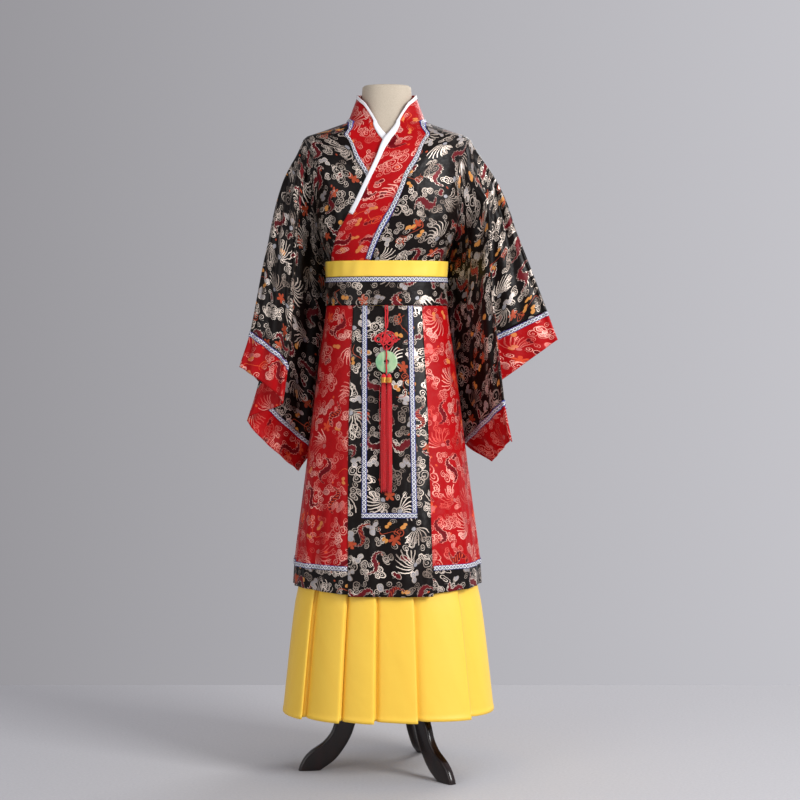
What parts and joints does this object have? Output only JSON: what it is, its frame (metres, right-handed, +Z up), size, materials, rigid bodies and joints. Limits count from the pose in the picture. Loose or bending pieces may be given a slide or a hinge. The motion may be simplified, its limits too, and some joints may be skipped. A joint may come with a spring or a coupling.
{
  "type": "hanfu robe on a dress form",
  "caption": "Ceremonial cross-collared brocade robe with wide sleeves, overskirt, pleated underskirt, belt and tassel pendant, shown on a three-legged dress form.",
  "frame": {"origin": "middle of the model's footprint on the floor", "axes": "+Z up, -Y out of the robe's front, +X towards the wearer's left"},
  "size_m": [0.6957, 0.3835, 1.5],
  "materials": {
    "black brocade": "figured satin",
    "red brocade": "figured satin",
    "yellow satin": "satin",
    "white cotton": "matte",
    "woven ribbon": "woven",
    "form cloth": "matte",
    "dark wood": "gloss",
    "red cord": "silk",
    "jade": "polished stone",
    "gold thread": "metallic thread"
  },
  "bodies": {
    "root": {"apron_ribbon_foot": "woven ribbon", "apron_ribbon_left": "woven ribbon", "apron_ribbon_right": "woven ribbon", "belt": "yellow satin", "collar_left": "red brocade", "collar_right": "red brocade", "collar_guard_left": "white cotton", "collar_guard_right": "white cotton", "collar_ribbon_left": "woven ribbon", "collar_ribbon_right": "woven ribbon", "cuff_left": "red brocade", "cuff_right": "red brocade", "cuff_ribbon_left": "woven ribbon", "cuff_ribbon_right": "woven ribbon", "form_hub": "dark wood", "form_leg_1": "dark wood", "form_leg_2": "dark wood", "form_leg_3": "dark wood", "form_stem": "dark wood", "form_torso": "form cloth", "hem_band_left": "black brocade", "hem_band_right": "black brocade", "hem_ribbon_left": "woven ribbon", "hem_ribbon_right": "woven ribbon", "pendant_cord_left": "red cord", "pendant_cord_right": "red cord", "pendant_knot": "red cord", "pendant_link": "red cord", "pendant_ring": "jade", "robe_back": "black brocade", "robe_front_left": "black brocade", "robe_front_right": "black brocade", "skirt_apron": "black brocade", "skirt_panel_left": "red brocade", "skirt_panel_right": "red brocade", "sleeve_left": "black brocade", "sleeve_right": "black brocade", "tassel": "red cord", "tassel_band_1": "gold thread", "tassel_band_2": "gold thread", "underskirt": "yellow satin", "waist_ribbon": "woven ribbon", "waistband": "black brocade"}
  },
  "joints": []
}
